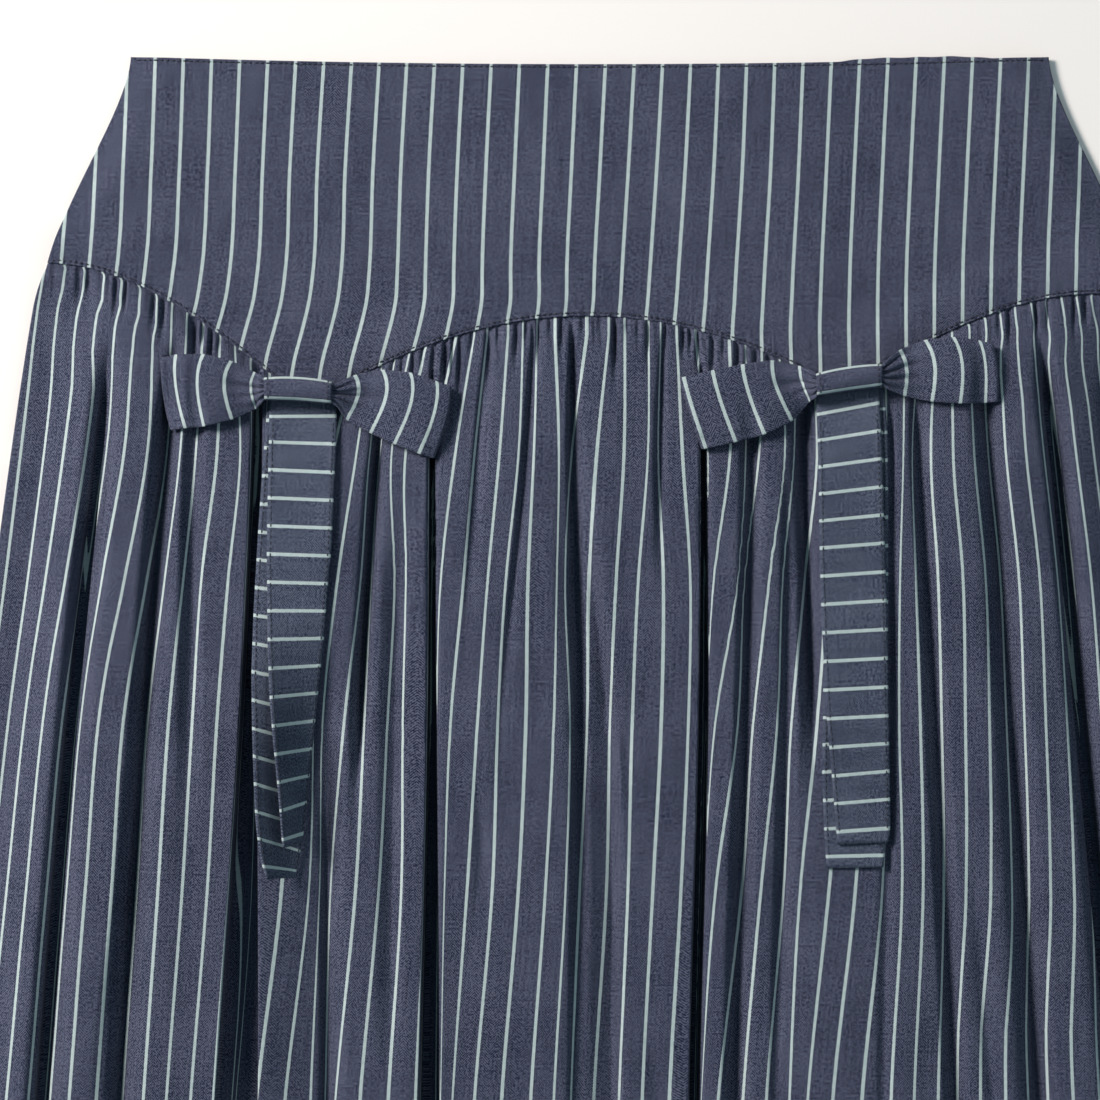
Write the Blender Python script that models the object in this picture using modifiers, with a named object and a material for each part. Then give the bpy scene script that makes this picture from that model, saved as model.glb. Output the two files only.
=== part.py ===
"""A gathered skirt with a scalloped yoke and two tied bows, laid flat with its front up.

Run with: blender --background --python part.py
Sizes are in millimetres in the tables and turned into metres at the end. x runs across the
skirt, d down it from the middle of the waist, z up from the surface that it lies on.
"""

import math

import bpy
import numpy as np

# ---------------------------------------------------------------- driving dimensions (mm)
WALL = 1.2  # one layer of cloth, with its turned-in edges
STRAP_WALL = 1.2  # the bows' doubled strap
GAP = 0.3  # left between pieces that are sewn together
WAIST_HALF = 180.0
YOKE_FLARE = 35.0  # how much each half widens from the waist to the hip
HEM_FLARE = 80.0  # and again from the hip to the hem
LENGTH = 757.0
HEM_RISE = 5.0  # the hem's side ends lie a little higher than its middle
WAIST_RISE = 3.0
FACING_DEPTH = 38.0
LAP = 9.0  # the skirt's seam allowance, under the yoke
PUFF = 17.0  # height of the gathers' crests
MID = (LENGTH - WAIST_RISE) / 2  # the middle of the length, at y = 0

# the yoke's scalloped lower edge: arches between low tips under the bows
TIP_L, TIP_R = 127.0, 124.0
TIP_LX, TIP_RX = -112.0, 100.5

# One row for each fold valley: its x where d is 110, 150, 250, 403 and at the hem, the d where
# it starts and where it is full, where it begins to fade and is gone, its depth, its width on
# the left and right, and how much it has widened by the hem.
FOLDS = [
    # x110, x150,  x250,  x403,  xhem, start, full, fade, gone, deep, wl, wr, widen
    (-214, -219, -231, -247, -272, 108, 150, 999, 1000, 9, 9, 8, 1.2),
    (-188, -192, -202, -214, -236, 100, 150, 999, 1000, 13, 6, 8, 1.2),
    (-162, -166, -174, -184, -205, 104, 140, 999, 1000, 12, 5, 8, 1.2),
    (-153, -154.8, -156, -158, -165, 106, 135, 200, 320, 5, 5, 6, 1.0),
    (-129, -129.5, -132.5, -140.5, -152, 122, 150, 999, 1000, 14, 4.5, 6, 1.3),
    (-118, -120, -122, -131, -143, 185, 285, 999, 1000, 12, 15, 19, 1.1),
    (-100, -100, -102.5, -105, -114, 265, 330, 999, 1000, 7, 5, 5, 1.2),
    (-80, -83, -89.5, -92, -96, 132, 160, 235, 300, 13, 7, 4.5, 1.2),
    (-72, -73, -76, -78, -84, 165, 220, 330, 420, 4, 7, 5, 1.0),
    (-61.6, -61.6, -61.6, -63.5, -70, 122, 158, 999, 1000, 18, 4.6, 4.6, 1.3),
    (-40.6, -43.7, -49, -52, -60, 100, 112, 170, 240, 4.5, 4.5, 8, 1.2),
    (-22.4, -25, -34, -40, -48, 99, 106, 150, 300, 4.5, 4, 5, 1.4),
    (-7.2, -7.4, -5.4, -9.4, -12, 98, 112, 999, 1000, 11, 4.5, 11, 1.15),
    (28.6, 27.3, 28, 27, 26, 101, 112, 158, 205, 6, 5, 4, 1.0),
    (43.5, 44.1, 44.4, 40.6, 42, 118, 150, 999, 1000, 18, 4.6, 4.4, 1.2),
    (61, 62.4, 60.8, 56.6, 62, 112, 145, 260, 600, 9, 5, 7, 1.3),
    (77, 77, 76, 72.5, 80, 150, 195, 999, 1000, 4, 4, 6, 1.2),
    (83.5, 83.9, 86.5, 89, 97, 122, 142, 230, 290, 10, 7, 5, 1.0),
    (117, 117, 116.5, 114, 124, 124, 150, 300, 520, 8, 5, 5, 1.2),
    (126, 128, 134, 142, 160, 112, 150, 999, 1000, 13, 6, 5, 1.2),
    (152, 156, 164, 175, 196, 100, 140, 999, 1000, 10, 8, 6, 1.2),
    (176, 181, 191, 205, 228, 98, 140, 999, 1000, 14, 6, 7, 1.2),
    (202, 207, 219, 236, 262, 108, 150, 999, 1000, 9, 8, 9, 1.2),
]
STATIONS = np.array([110.0, 150.0, 250.0, 403.0, LENGTH])

# The back's pleats, pressed flat on the surface: x near the yoke and at the hem, height, width
BACK_FOLDS = [
    # xtop, xhem, high, width
    (-203, -253, 3.2, 8),
    (-176, -222, 3.0, 7),
    (-143, -178, 2.6, 7),
    (-33, -30, 3.4, 9),
    (17, 16, 3.6, 9),
    (100, 108, 3.2, 9),
    (141, 178, 3.0, 8),
    (166, 213, 3.0, 7),
    (191, 245, 3.2, 8),
]


def soft(t):
    t = np.clip(t, 0.0, 1.0)
    return t * t * (3 - 2 * t)


def along(d, places):
    """A smooth line through a fold's five places."""
    places = np.asarray(places, float)
    slope = np.gradient(places, STATIONS)
    d = np.clip(d, STATIONS[0], STATIONS[-1])
    i = np.clip(np.searchsorted(STATIONS, d, side="right") - 1, 0, 3)
    h = STATIONS[i + 1] - STATIONS[i]
    t = (d - STATIONS[i]) / h
    return (
        (2 * t**3 - 3 * t**2 + 1) * places[i]
        + (t**3 - 2 * t**2 + t) * h * slope[i]
        + (3 * t**2 - 2 * t**3) * places[i + 1]
        + (t**3 - t**2) * h * slope[i + 1]
    )


def seam(x):
    """How far down the yoke's scalloped edge is."""
    middle = 98.7 + 0.00295 * (x + 1) ** 2
    left = TIP_L - 49 * np.sin(math.pi / 2 * np.clip((-x - 118) / 95, 0, 1))
    right = TIP_R - 34 * np.sin(math.pi / 2 * np.clip((x - 104) / 95, 0, 1))
    tip = np.where(x < 0, TIP_L, TIP_R)
    return np.where(x < -106, left, np.where(x > 97, right, np.minimum(middle, tip)))


def half_width(d):
    """Half the skirt's width, laid flat."""
    return WAIST_HALF + YOKE_FLARE * soft((d + 3) / 100) ** 0.8 + HEM_FLARE * np.clip((d - 80) / (LENGTH - 80), 0, 1) ** 0.85


def waist(x):
    return -WAIST_RISE * (np.abs(x) / WAIST_HALF) ** 2


def front_top(x, d):
    """The front's outer surface below the yoke: puffed gathers with valleys between them."""
    t = d - seam(x)
    lap = 3.0 + WALL + 0.1
    crest = lap + (PUFF + WALL - lap) * (1 - np.exp(-np.maximum(t - 1.5, 0) / 28.0)) - 3 * soft((d - 500) / 250)
    edge = soft((half_width(d) - np.abs(x)) / 48.0)
    low = lap - 1.6 * soft((t - 3) / 20)
    z = low + (crest - low) * edge
    for x110, x150, x250, x403, xhem, start, full, fade, gone, deep, wl, wr, widen in FOLDS:
        xc = along(d, (x110, x150, x250, x403, xhem))
        live = soft((d - start) / (full - start)) * (1 - soft((d - fade) / (gone - fade)))
        w = 1 + (widen - 1) * np.clip((d - 150) / 253, 0, 1.6)
        s = np.where(x < xc, (xc - x) / (wl * w), (x - xc) / (wr * w))
        z = z - deep * live * np.clip(1 - s * s, 0, 1) ** 2
    floor = lap - 1.5 * soft((t - 3) / 20)
    z = floor + 0.8 * np.log1p(np.exp((z - floor) / 0.8))
    return lap + (z - lap) * soft((t - 0.8) / 6)


def back_bottom(x, d):
    """The back's outer surface, on the table: flat, with narrow pressed pleats."""
    t = d - seam(x)
    z = (WALL + GAP) * (1 - soft((t - 1.5) / 12))
    for xtop, xhem, high, width in BACK_FOLDS:
        xc = xtop + (xhem - xtop) * (d - 110) / (LENGTH - 110)
        s = (x - xc) / width
        z = z + high * soft((t - 14) / 45) * np.clip(1 - s * s, 0, 1) ** 2
    return z


def yoke_top(x, d):
    """The yoke front's outer surface: it lies over the facing, then over the skirt's seam allowance."""
    t = d - seam(x)
    z = 3.0 + WALL + 1.75 * soft((t + 24) / 15)
    edge = soft((half_width(d) - np.abs(x)) / 14.0)
    low = 2.7 + (z - 2.7) * soft((t + 24) / 15)
    return low + (z - low) * edge


# ---------------------------------------------------------------- scene and helpers
for obj in list(bpy.data.objects):
    bpy.data.objects.remove(obj, do_unlink=True)
PART = bpy.data.collections.new("gathered_skirt")
bpy.context.scene.collection.children.link(PART)


def material(name, colour, rough=0.85):
    mat = bpy.data.materials.new(name)
    mat.use_nodes = True
    bsdf = mat.node_tree.nodes["Principled BSDF"]
    bsdf.inputs["Base Color"].default_value = (*colour, 1)
    bsdf.inputs["Roughness"].default_value = rough
    return mat


def sheet(name, points, thick, side, colour):
    """A closed cloth wall on a grid of points (rows x columns x 3, mm): one primitive grid, bent, then thickened.
    side is -1 to thicken below the points, 0 for both ways and 1 for above."""
    rows, cols = points.shape[:2]
    bpy.ops.mesh.primitive_grid_add(x_subdivisions=cols - 1, y_subdivisions=rows - 1, size=2)
    obj = bpy.context.object
    obj.name = name
    obj.data.name = name
    for vert in obj.data.vertices:
        i = round((vert.co.x + 1) / 2 * (cols - 1))
        j = round((1 - vert.co.y) / 2 * (rows - 1))
        x, d, z = points[j, i]
        vert.co = (x / 1000, (MID - d) / 1000, z / 1000)
    solid = obj.modifiers.new("cloth", "SOLIDIFY")
    solid.thickness = thick / 1000
    solid.offset = side
    solid.use_even_offset = False
    obj.data.materials.append(material(name, colour))
    for coll in list(obj.users_collection):
        coll.objects.unlink(obj)
    PART.objects.link(obj)
    return obj


def columns(height, d_of, half, count, evenness=1 / 13):
    """x places along one row, closer together where the cloth bends."""
    xs = np.linspace(-half, half, 2401)
    z = height(xs, d_of(xs))
    bend = np.sqrt(np.abs(np.gradient(np.gradient(z, xs), xs)))
    kernel = np.exp(-0.5 * (np.arange(-16, 17) / 5.0) ** 2)
    bend = np.convolve(bend, kernel / kernel.sum(), mode="same")
    step = xs[1] - xs[0]
    dense = evenness + bend * max((count - 1) - evenness * 2 * half, 1) / max(bend.sum() * step, 1e-6)
    total = np.concatenate([[0], np.cumsum((dense[1:] + dense[:-1]) / 2 * step)])
    return np.interp(np.linspace(0, total[-1], count), total, xs)


def hem_row(x, half):
    return LENGTH - HEM_RISE * (x / half) ** 2


def panel_rows(table, height, count):
    """Rows of a gathered panel from under the yoke's edge to the hem. The rows that follow the
    edge share one set of columns, so that their faces don't fold over each other."""

    def row_line(below, level, turned):
        def d_of(x):
            straight = level - HEM_RISE * turned * (x / 290) ** 2
            return (seam(x) + below) * (1 - turned) + straight * turned

        half = half_width(float(d_of(np.array([213.0]))[0]))
        return d_of, half_width(float(d_of(np.array([half]))[0]))

    d_first, half_first = row_line(20, 0, 0.0)
    shared = columns(height, d_first, half_first, count) / half_first
    out = []
    for below, level, turned in table:
        d_of, half = row_line(below, level, turned)
        if turned == 0:
            x = shared * (half - 1.5 * (below < 2))
        else:
            x = columns(height, d_of, half, count)
        d = d_of(x)
        out.append(np.stack([x, d, height(x, d)], axis=1))
    return np.array(out)


# ---------------------------------------------------------------- panels
CLOTH = (0.075, 0.085, 0.14)
ROWS = [
    # mm below the yoke's edge, level down the skirt, share turned from the edge's curve to level
    (-LAP, 0, 0.0),
    (0.8, 0, 0.0),
    (8, 0, 0.0),
    (20, 0, 0.0),
    (48, 160, 0.55),
    (85, 190, 0.9),
    (0, 235, 1.0),
    (0, 300, 1.0),
    (0, 385, 1.0),
    (0, 500, 1.0),
    (0, 625, 1.0),
    (0, LENGTH, 1.0),
]

sheet("skirt_front", panel_rows(ROWS, front_top, 84), WALL, -1, CLOTH)
sheet("skirt_back", panel_rows(ROWS, back_bottom, 36), WALL, 1, CLOTH)


def yoke_points(height, cols, fractions, inset):
    out = []
    for f in fractions:
        x0 = np.linspace(-1, 1, cols)
        guess = half_width(f * 80.0) - inset
        x = x0 * guess
        d = waist(x) * (1 - f) + seam(x) * f
        x = x0 * (half_width(d) - inset)
        d = waist(x) * (1 - f) + seam(x) * f
        out.append(np.stack([x, d, height(x, d)], axis=1))
    return np.array(out)


sheet("yoke_front", yoke_points(yoke_top, 29, (0.0, 0.3, 0.58, 0.76, 0.88, 1.0), 0.0), WALL, -1, CLOTH)


def yoke_back_bottom(x, d):
    return 0.0 * x


yoke_back = yoke_points(yoke_back_bottom, 25, (0.0, 0.4, 0.75, 1.0), 0.0)
yoke_back[0, :, 1] += 0.6
sheet("yoke_back", yoke_back, WALL, 1, CLOTH)

# the facing's turned edge stands a little above the waist towards the right
facing = []
for f in (0.0, 0.5, 1.0):
    x = np.linspace(-1, 1, 17) * (half_width(FACING_DEPTH * f) - 13)
    peek = 2.0 * soft((x - 84) / 30) * (1 - soft((x - 140) / 30)) - 0.5
    d = (waist(x) - peek) * (1 - f) + FACING_DEPTH * f
    facing.append(np.stack([x, d, np.full_like(x, WALL + GAP + WALL)], axis=1))
sheet("waist_facing", np.array(facing), WALL, -1, CLOTH)


# ---------------------------------------------------------------- bows
def cover(x, d):
    """The highest panel surface here."""
    x, d = np.asarray(x, float), np.asarray(d, float)
    return np.where(d < seam(x) + 0.5, yoke_top(x, np.minimum(d, seam(x))), front_top(x, d))


def lift_line(left, right, margin):
    """Heights for a stiff strip from left to right edge points (n x 2), clear of all that is under it."""
    n = len(left)
    high = np.zeros(n)
    for k in range(n):
        for v in np.linspace(-0.04, 1.04, 15):
            p = left[k] + (right[k] - left[k]) * v
            for dx, dd in ((0, 0), (-3, 0), (3, 0), (0, -3), (0, 3)):
                high[k] = max(high[k], float(cover(p[0] + dx, p[1] + dd)))
    smooth = high.copy()
    for _ in range(4):
        smooth[1:-1] = np.maximum(high[1:-1], (smooth[:-2] + smooth[2:]) / 2)
    return smooth + margin


def spread(table, count):
    """Evenly spaced rows between the rows of a short table."""
    table = np.asarray(table, float)
    key = table[:, 0]
    places = np.linspace(key[0], key[-1], count)
    return np.stack([np.interp(places, key, table[:, c]) for c in range(table.shape[1])], axis=1)


def tail(name, table, stations, margin):
    """A hanging end of the strap. table rows: share of its length, x left, d left, x right, d right."""
    rows = spread(table, stations)
    left, right = rows[:, 1:3], rows[:, 3:5]
    z = lift_line(left, right, margin)
    points = []
    for k in range(stations):
        line = []
        for v in (0.0, 0.33, 0.67, 1.0):
            p = left[k] + (right[k] - left[k]) * v
            line.append((p[0], p[1], z[k]))
        points.append(line)
    sheet(name, np.array(points), STRAP_WALL, 1, CLOTH)
    return z


def wing(name, table, z_mouth, margin, across=5):
    """A loop of strap: out from the knot, round, and back over itself.
    table rows: share of the way out, x upper, d upper, x lower, d lower."""
    rows = np.asarray(table, float)
    between = (rows[1:-1] + rows[2:]) / 2
    rows = np.concatenate([rows, between[1::2]])
    rows = rows[np.argsort(rows[:, 0])]
    lofts = len(rows)
    up, down = rows[:, 1:3], rows[:, 3:5]
    out = (up[-1] - up[-2] + down[-1] - down[-2]) / 2
    out = out / np.linalg.norm(out)
    base = lift_line(np.vstack([up, up[-1] + 3 * out]), np.vstack([down, down[-1] + 3 * out]), margin + STRAP_WALL / 2)
    base = np.append(base[:-2], base[-2:].max())
    share = rows[:, 0]
    # the under layer climbs out of the knot; the over layer stands off it by the loop's depth
    under = z_mouth - 0.95 + (base - (z_mouth - 0.95)) * soft((share - 0.2) / 0.3)
    under = np.maximum(under, np.where(share > 0.3, base, under))
    depth = 1.9 + 4.2 * soft((share - 0.2) / 0.5)
    over = under + depth
    points = []
    for k in range(lofts):
        points.append([(*(up[k] + (down[k] - up[k]) * v), under[k]) for v in np.linspace(0, 1, across)])
    r = depth[-1] / 2
    for angle in (45, 90, 135):
        a = math.radians(angle)
        push = out * r * math.sin(a)
        points.append([(*(up[-1] + (down[-1] - up[-1]) * v + push), under[-1] + r * (1 - math.cos(a))) for v in np.linspace(0, 1, across)])
    for k in range(lofts - 1, -1, -1):
        points.append([(*(up[k] + (down[k] - up[k]) * v), over[k]) for v in np.linspace(0, 1, across)])
    sheet(name, np.array(points), STRAP_WALL, 0, CLOTH)


def knot(name, left, right, tall, z_low, deep, around=14):
    """The band round the middle of the bow: an oval tube from end to end, left and right its axis ends."""
    lines = []
    for k in range(around + 1):
        a = 2 * math.pi * k / around
        c, s = math.cos(a), math.sin(a)
        dd = (abs(c) ** 0.75) * math.copysign(1, c) * (tall - STRAP_WALL) / 2
        zz = (abs(s) ** 0.75) * math.copysign(1, s) * (deep - STRAP_WALL) / 2
        line = []
        for v in (0.0, 0.33, 0.67, 1.0):
            bulge = 1 + 0.05 * math.sin(math.pi * v)
            line.append((left[0] + (right[0] - left[0]) * v, left[1] + (right[1] - left[1]) * v + dd * bulge, z_low + deep / 2 + zz * bulge))
        lines.append(line)
    obj = sheet(name, np.array(lines), STRAP_WALL, 0, CLOTH)
    # the band's last line is its first: sew them
    weld = obj.modifiers.new("join", "WELD")
    weld.merge_threshold = 0.00005
    obj.modifiers.move(1, 0)
    return obj


def px(*pairs):
    """Photo places (x, y in picture points) to x and d."""
    flat = []
    for x, y in pairs:
        flat += [(x - 590) * 0.39, (y - 62) * 0.39]
    return flat


# left bow, as seen from the front
LEFT_TAIL_BACK = [
    (0.0, *px((268, 392), (330, 392))),
    (0.1, *px((262, 440), (329, 447))),
    (0.35, *px((258, 560), (322, 573))),
    (0.52, *px((254, 642), (316, 658))),
    (0.7, *px((255, 726), (310, 745))),
    (0.88, *px((259, 808), (303, 829))),
    (1.0, *px((270, 872), (294, 872))),
]
LEFT_TAIL_FRONT = [
    (0.0, *px((270, 395), (336, 390))),
    (0.3, *px((268, 554), (332, 554))),
    (0.48, *px((270, 638), (326, 636))),
    (0.66, *px((275, 724), (316, 716))),
    (0.85, *px((283, 807), (307, 796))),
    (1.0, *px((286, 845), (303, 842))),
]
RIGHT_TAIL_BACK = [
    (0.0, *px((822, 392), (884, 386))),
    (0.4, *px((823, 570), (887, 560))),
    (0.7, *px((822, 715), (886, 706))),
    (1.0, *px((826, 867), (882, 864))),
]
RIGHT_TAIL_FRONT = [
    (0.0, *px((816, 396), (879, 382))),
    (0.35, *px((819, 560), (884, 548))),
    (0.65, *px((825, 700), (886, 690))),
    (1.0, *px((836, 843), (887, 840))),
]
LEFT_WING_INNER = [
    (0.0, *px((301, 386), (301, 397))),
    (0.24, *px((336, 387), (336, 402))),
    (0.36, *px((355, 376), (347, 421))),
    (0.55, *px((383, 370), (371, 434))),
    (0.76, *px((411, 373), (395, 445))),
    (1.0, *px((440, 384), (426, 457))),
]
LEFT_WING_OUTER = [
    (0.0, *px((297, 386), (297, 397))),
    (0.22, *px((264, 382), (264, 397))),
    (0.32, *px((256, 370), (257, 411))),
    (0.5, *px((232, 360), (233, 420))),
    (0.75, *px((204, 353), (205, 427))),
    (1.0, *px((172, 356), (176, 428))),
]
RIGHT_WING_INNER = [
    (0.0, *px((846, 375), (846, 386))),
    (0.22, *px((813, 378), (813, 393))),
    (0.34, *px((800, 367), (809, 404))),
    (0.52, *px((772, 361), (791, 421))),
    (0.74, *px((742, 365), (764, 435))),
    (1.0, *px((693, 374), (714, 447))),
]
RIGHT_WING_OUTER = [
    (0.0, *px((850, 375), (850, 386))),
    (0.22, *px((883, 369), (884, 384))),
    (0.34, *px((897, 352), (903, 397))),
    (0.52, *px((921, 342), (928, 402))),
    (0.76, *px((950, 337), (957, 404))),
    (1.0, *px((982, 337), (990, 402))),
]

KNOT_TALL, KNOT_DEEP = 10.2, 8.8
for side, tail_back, tail_front, inner, outer, ends in (
    ("left", LEFT_TAIL_BACK, LEFT_TAIL_FRONT, LEFT_WING_INNER, LEFT_WING_OUTER, px((265, 390), (333, 393))),
    ("right", RIGHT_TAIL_BACK, RIGHT_TAIL_FRONT, RIGHT_WING_INNER, RIGHT_WING_OUTER, px((815, 385), (880, 376))),
):
    zb = tail(f"bow_{side}_tail_back", tail_back, 15, 0.5)
    zf = tail(f"bow_{side}_tail_front", tail_front, 15, 0.5 + STRAP_WALL + 0.9)
    low = (zf[0] + zf[1]) / 2 + STRAP_WALL + 0.4
    mouth = low + KNOT_DEEP / 2
    knot(f"bow_{side}_knot", ends[0:2], ends[2:4], KNOT_TALL, low, KNOT_DEEP)
    wing(f"bow_{side}_wing_inner", inner, mouth, 0.6)
    wing(f"bow_{side}_wing_outer", outer, mouth, 0.6)
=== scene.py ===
"""Looks for the gathered skirt: its cloth, stripes, stitches, folds and bows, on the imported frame.

Sizes in the tables are millimetres unless a name says otherwise: x across the skirt, d down from
the middle of the waist, z up from the surface. Photo places are in picture points.
"""

import math

import bpy
import numpy as np
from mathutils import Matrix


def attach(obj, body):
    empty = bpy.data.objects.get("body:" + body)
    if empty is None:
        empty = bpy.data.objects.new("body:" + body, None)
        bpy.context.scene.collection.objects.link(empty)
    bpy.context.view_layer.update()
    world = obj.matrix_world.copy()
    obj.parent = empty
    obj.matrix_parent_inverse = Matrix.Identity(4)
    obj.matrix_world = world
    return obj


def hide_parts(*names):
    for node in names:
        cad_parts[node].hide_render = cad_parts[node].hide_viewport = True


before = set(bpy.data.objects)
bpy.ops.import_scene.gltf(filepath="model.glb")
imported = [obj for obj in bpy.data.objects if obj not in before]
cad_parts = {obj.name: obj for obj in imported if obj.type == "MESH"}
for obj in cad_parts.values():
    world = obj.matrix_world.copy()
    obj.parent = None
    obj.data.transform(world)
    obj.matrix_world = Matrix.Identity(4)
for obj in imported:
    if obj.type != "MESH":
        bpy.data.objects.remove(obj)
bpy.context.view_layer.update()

# ---------------------------------------------------------------- sizes shared with the CAD part
WALL = 1.2
WAIST_HALF, YOKE_FLARE, HEM_FLARE = 180.0, 35.0, 80.0
LENGTH, HEM_RISE, WAIST_RISE = 757.0, 5.0, 3.0
PUFF = 17.0
MID = (LENGTH - WAIST_RISE) / 2
TIP_L, TIP_R = 127.0, 124.0
K = 0.39  # millimetres in one picture point
PX, PY = 590.0, 62.0  # the picture place of x = 0, d = 0
PITCH = 28.33 * K  # from one pale stripe to the next
CLOTH = 0.7  # thickness shown

FOLDS = [
    # name, x110, x150,  x250,  x403,  xhem, start, full, fade, gone, deep, wl, wr, widen
    ("side_l3", -214, -219, -231, -247, -272, 108, 150, 999, 1000, 9, 9, 8, 1.2),
    ("side_l2", -188, -192, -202, -214, -236, 100, 150, 999, 1000, 13, 6, 8, 1.2),
    ("side_l1", -162, -166, -174, -184, -205, 104, 140, 999, 1000, 12, 5, 8, 1.2),
    ("edge_l", -153, -154.8, -156, -158, -165, 106, 135, 200, 320, 5, 5, 6, 1.0),
    ("well_l", -129.5, -130, -132.7, -139, -150, 122, 150, 999, 1000, 4, 2.6, 4, 1.6),
    ("slit_wide", -100, -100, -102.5, -103, -112, 225, 290, 999, 1000, 5.5, 22, 8, 1.15),
    ("slit", -100, -100, -102.5, -103, -112, 265, 330, 999, 1000, 3.6, 2.6, 3, 1.2),
    ("wedge", -80, -83, -89.5, -92, -96, 132, 160, 235, 300, 10.5, 4, 4.5, 1.1),
    ("groove", -72, -73, -76, -78, -84, 165, 220, 330, 420, 4, 7, 5, 1.0),
    ("gap_l", -61.6, -61.6, -61.6, -62.6, -69, 122, 158, 999, 1000, 3.2, 2.4, 3.6, 1.3),
    ("soft_1", -40.6, -43.7, -49, -52, -60, 100, 112, 170, 240, 2.4, 2.4, 5, 1.2),
    ("soft_2", -22.4, -25, -34, -40, -48, 99, 106, 150, 300, 3.2, 1.9, 3.4, 1.4),
    ("middle", -7.2, -7.4, -5.4, -6.4, -9, 98, 112, 220, 520, 6.5, 2.2, 5, 1.3),
    ("middle_wide", -5.9, -4.7, 6.2, 8.6, 9, 136, 215, 999, 1000, 7.2, 18, 4, 1.15),
    ("short_1", 9.8, 9.8, 9, 9, 9, 99, 103, 112, 128, 2.5, 2.5, 2.5, 1.0),
    ("soft_3", 28.6, 27.3, 28, 27, 26, 101, 112, 158, 205, 4.4, 3, 2.8, 1.0),
    ("gap_r", 43.5, 44.1, 44.2, 40.6, 42, 118, 150, 999, 1000, 3.2, 1.5, 3.6, 1.2),
    ("soft_4", 61, 62.4, 60.8, 56.6, 62, 112, 145, 300, 950, 7.5, 5, 5, 1.2),
    ("line_r", 77, 77, 76, 72.5, 80, 150, 195, 300, 500, 4, 3.0, 5, 1.2),
    ("tail_r", 83.5, 83.9, 86.5, 89, 97, 122, 142, 230, 290, 10, 7, 5, 1.0),
    ("tail_e", 117, 117, 116.5, 114, 124, 124, 150, 300, 520, 2.6, 3, 3, 1.2),
    ("side_r1", 126, 128, 134, 142, 160, 112, 150, 999, 1000, 6.6, 4.5, 5, 1.2),
    ("side_r2", 152, 156, 164, 175, 196, 100, 140, 999, 1000, 10, 8, 6, 1.2),
    ("side_r3", 176, 181, 191, 205, 228, 98, 140, 999, 1000, 14, 6, 7, 1.2),
    ("side_r4", 202, 207, 219, 236, 262, 108, 150, 999, 1000, 9, 8, 9, 1.2),
]
STATIONS = np.array([110.0, 150.0, 250.0, 403.0, LENGTH])

# short soft troughs that bend as they go down
TROUGHS = [
    # name, x at five equal steps down, d from, d to, deep, width
    ("bent_a", 3.2, 6.5, 12.5, 15.0, 17.0, 236, 290, 2.6, 3.0),
    ("bent_b", 9.6, 11.2, 10.8, 9.6, 8.8, 308, 352, 1.8, 2.8),
    ("bent_c", -47.0, -43.5, -42.0, -43.5, -46.0, 262, 345, 1.7, 3.4),
    ("bent_d", 22.5, 26.5, 29.0, 29.5, 31.5, 372, 520, 1.9, 4.0),
    ("bent_e", -31.0, -28.0, -27.5, -30.0, -34.0, 455, 640, 1.9, 4.2),
    ("bent_f", 92.0, 95.5, 97.0, 96.5, 99.0, 430, 600, 2.0, 4.0),
    ("bent_g", -120.0, -117.0, -116.5, -119.0, -123.0, 470, 655, 2.0, 4.4),
    ("bent_h", 148.0, 151.5, 155.0, 160.0, 166.0, 300, 470, 2.0, 4.2),
    ("bent_i", -178.0, -181.0, -187.0, -191.0, -195.0, 280, 450, 2.0, 4.2),
]

# deep narrow gaps with steep sides, where two ridges nearly touch
GAPS = [
    # name, x110, x150,  x250,  x403,  xhem, start, full, deep, half width at the same five places
    ("beside_tail", -129.5, -130, -132.7, -137.5, -148, 112, 146, 15, 0.5, 1.0, 2.4, 7.2, 8.0),
    ("left_middle", -61.6, -61.6, -61.6, -62.6, -69, 112, 152, 16, 0.1, 0.1, 0.8, 3.1, 4.0),
    ("right_middle", 43.5, 44.1, 44.2, 40.6, 42, 110, 150, 16, 0.1, 0.1, 0.9, 1.2, 2.0),
    ("left_side", -188, -192, -202, -214, -236, 120, 170, 12, 0.4, 0.8, 1.4, 1.8, 2.5),
    ("right_side", 176, 181, 191, 205, 228, 120, 170, 13, 0.4, 0.8, 1.4, 1.8, 2.5),
]
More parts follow.
